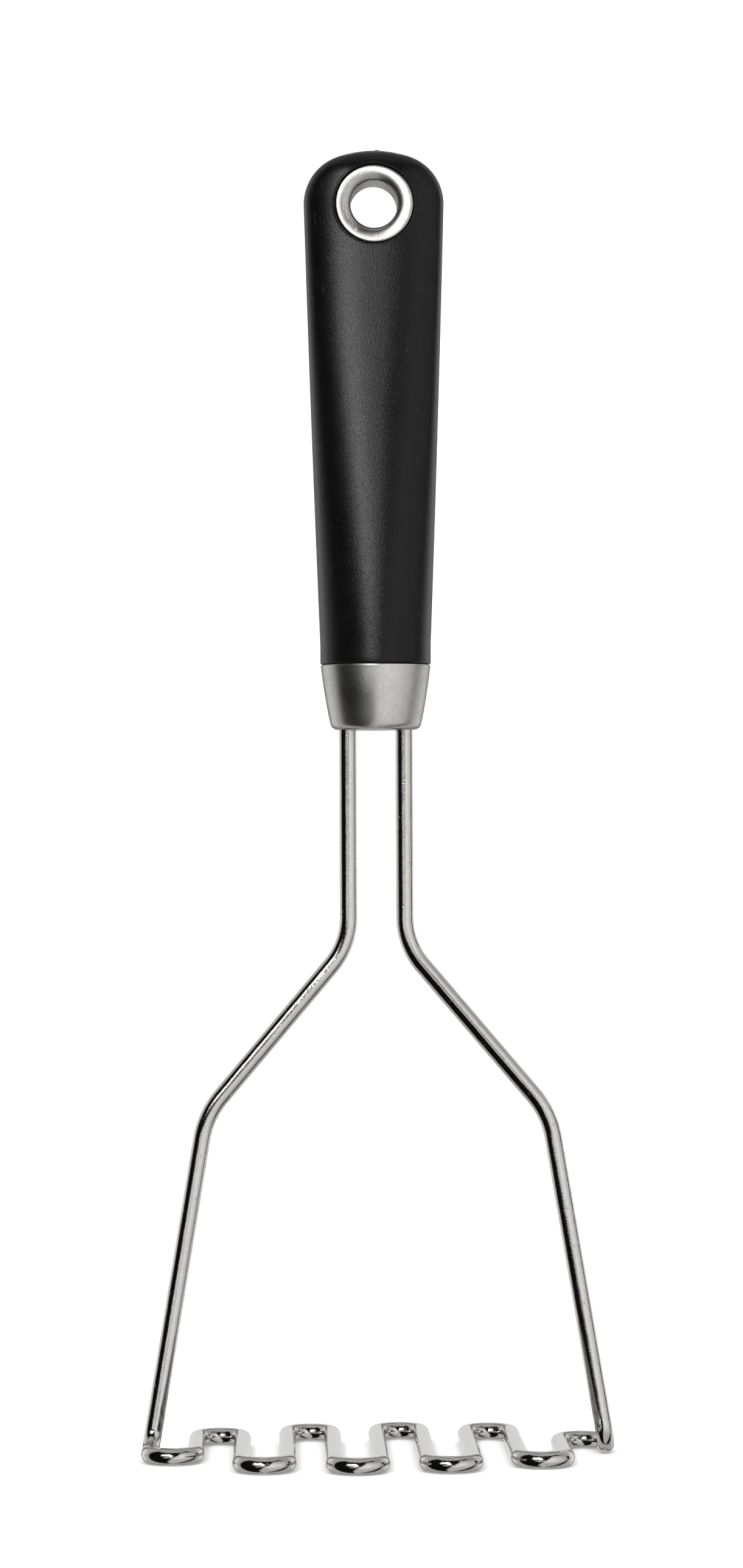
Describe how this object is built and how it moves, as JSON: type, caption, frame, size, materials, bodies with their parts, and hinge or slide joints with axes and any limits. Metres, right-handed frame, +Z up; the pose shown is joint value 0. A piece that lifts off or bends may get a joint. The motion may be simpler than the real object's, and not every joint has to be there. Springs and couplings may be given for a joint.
{
  "type": "potato masher",
  "caption": "Hand potato masher: a bent steel wire with a zig-zag foot, in a soft black handle with a steel ferrule and hang hole.",
  "frame": {"origin": "on the surface the foot rests on, under the middle of the serpentine foot", "axes": "+Z up along the handle, X across the two arms, the handle's broad face with the front eyelet looks along -Y"},
  "size_m": [0.0956, 0.0582, 0.2644],
  "materials": {
    "wire_steel": "polished round stainless wire with fine drawing lines",
    "ferrule_steel": "fine bead-blasted satin stainless steel",
    "eyelet_steel": "satin stainless steel, brighter on the rolled rim",
    "grip_rubber": "matte black synthetic rubber with a fine moulded grain",
    "core_plastic": "black polypropylene"
  },
  "bodies": {
    "root": {"masher_wire": "wire_steel", "ferrule": "ferrule_steel", "handle_core": "core_plastic", "grip": "grip_rubber", "eyelet_front": "eyelet_steel", "eyelet_back": "eyelet_steel"}
  },
  "joints": []
}
